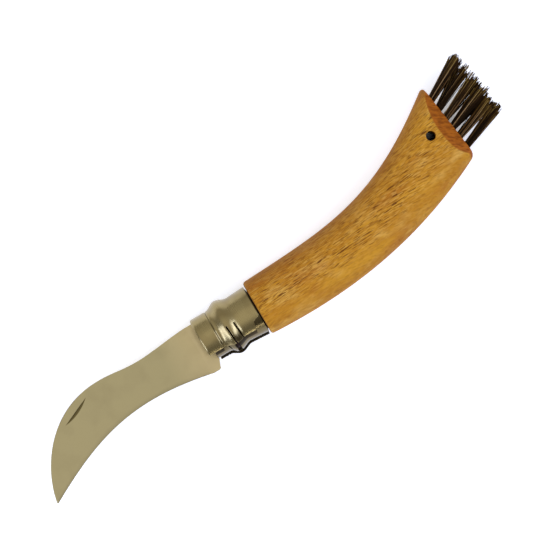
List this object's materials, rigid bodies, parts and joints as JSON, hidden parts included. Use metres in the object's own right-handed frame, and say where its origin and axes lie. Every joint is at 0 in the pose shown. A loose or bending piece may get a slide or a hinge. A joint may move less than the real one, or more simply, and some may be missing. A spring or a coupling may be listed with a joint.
{
  "type": "mushroom knife",
  "caption": "Folding mushroom knife with a hooked blade, turning lock ring, bent wooden handle, lanyard hole and a bristle brush at the end.",
  "frame": {"origin": "middle of the flat strip of the handle's lower flank, on which the knife rests", "axes": "+X along the collar's axis towards the brush, +Y towards the spine side of the open blade, +Z along the pivot rivet, up from the surface that the knife lies on"},
  "size_m": [0.2128, 0.0682, 0.0226],
  "materials": {
    "beech": "satin varnish",
    "collar_steel": "satin stainless",
    "ring_steel": "polished stainless",
    "rivet_steel": "peened",
    "blade_steel": "satin stainless",
    "bristle": "natural boar bristle",
    "anchor_wire": "drawn flat wire"
  },
  "bodies": {
    "handle": {"handle": "beech", "fixed_collar": "collar_steel", "pivot_rivet": "rivet_steel", "bristle_row_near": "bristle", "bristle_row_far": "bristle", "tuft_anchor_near_1": "anchor_wire", "tuft_anchor_near_2": "anchor_wire", "tuft_anchor_near_3": "anchor_wire", "tuft_anchor_near_4": "anchor_wire", "tuft_anchor_near_5": "anchor_wire", "tuft_anchor_near_6": "anchor_wire", "tuft_anchor_far_1": "anchor_wire", "tuft_anchor_far_2": "anchor_wire", "tuft_anchor_far_3": "anchor_wire", "tuft_anchor_far_4": "anchor_wire", "tuft_anchor_far_5": "anchor_wire", "tuft_anchor_far_6": "anchor_wire"},
    "blade": {"blade": "blade_steel"},
    "lock_ring": {"lock_ring": "ring_steel"}
  },
  "joints": [
    {"name": "blade_fold", "type": "hinge", "parent": "handle", "child": "blade", "pos_m": [-0.05898, -0.0041, 0.0113], "axis": [0, 0, 1], "range_deg": [0, 170]},
    {"name": "ring_turn", "type": "hinge", "parent": "handle", "child": "lock_ring", "pos_m": [-0.05898, -0.0041, 0.0113], "axis": [1, 0, 0], "range_deg": [-38, 0]}
  ]
}
